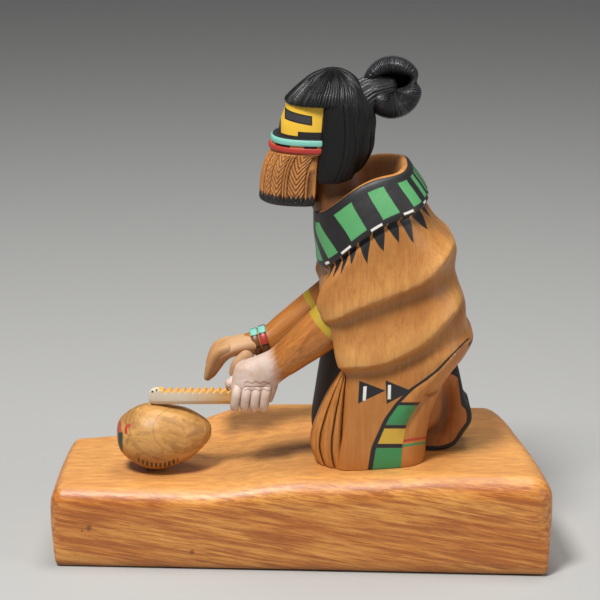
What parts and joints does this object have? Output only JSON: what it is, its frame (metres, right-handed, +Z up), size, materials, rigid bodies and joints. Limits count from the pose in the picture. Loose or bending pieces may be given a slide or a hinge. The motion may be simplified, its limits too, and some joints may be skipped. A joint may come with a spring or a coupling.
{
  "type": "kachina doll",
  "caption": "Carved and painted kachina doll: a kneeling maiden plays a notched rasp on a gourd, on a rounded cottonwood slab.",
  "frame": {"origin": "middle of the slab's outline at the height of its underside", "axes": "+Z up, the figure faces -X along the slab's length, +Y is the far side with the raised bank"},
  "size_m": [0.21, 0.108, 0.2107],
  "materials": {
    "slab_wood": "sanded and oiled cottonwood root, satin, long reddish grain",
    "carved_figure": "stained cottonwood, painted black, green, yellow, turquoise and red",
    "gourd_shell": "tan wood with burned lines",
    "rasp_wood": "pale painted wood worn to bare wood"
  },
  "bodies": {
    "root": {"base": "slab_wood", "figure": "carved_figure", "gourd": "gourd_shell", "rasp": "rasp_wood"}
  },
  "joints": []
}
